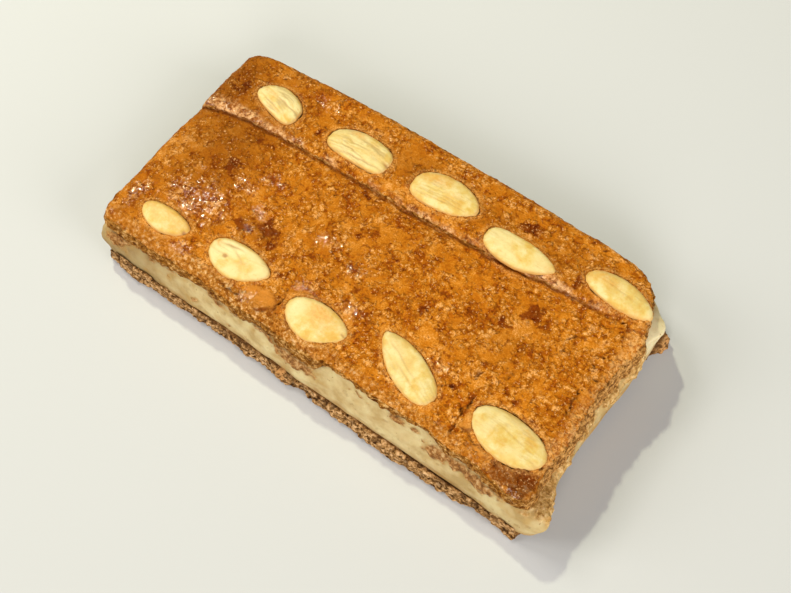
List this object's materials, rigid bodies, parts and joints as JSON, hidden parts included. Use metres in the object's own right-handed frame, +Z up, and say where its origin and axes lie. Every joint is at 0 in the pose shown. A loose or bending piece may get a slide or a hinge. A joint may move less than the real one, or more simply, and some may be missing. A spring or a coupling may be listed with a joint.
{
  "type": "filled speculaas slab",
  "caption": "Low oblong slab of filled spiced bake: glazed brown top crust with a fold and rows of almond halves, a thick pale almond paste layer and a crumbly bottom crust.",
  "frame": {"origin": "on the table under the middle of the whole slab's outline", "axes": "+X along the slab, -Y towards the long side where the paste shows most, +Z up"},
  "size_m": [0.1918, 0.0986, 0.0285],
  "materials": {
    "glazed_crust": "baked, egg-washed golden brown crust, uneven gloss",
    "almond_paste": "moist, dense pale cream paste with brown specks",
    "bottom_crust": "dry, porous, crumbly tan-brown crust",
    "blanched_almond": "satin, pale yellow cream with fine grooves along its length"
  },
  "bodies": {
    "root": {"bottom_crust": "bottom_crust", "almond_paste": "almond_paste", "top_crust": "glazed_crust", "almond_01": "blanched_almond", "almond_02": "blanched_almond", "almond_03": "blanched_almond", "almond_04": "blanched_almond", "almond_05": "blanched_almond", "almond_06": "blanched_almond", "almond_07": "blanched_almond", "almond_08": "blanched_almond", "almond_09": "blanched_almond", "almond_10": "blanched_almond"}
  },
  "joints": []
}
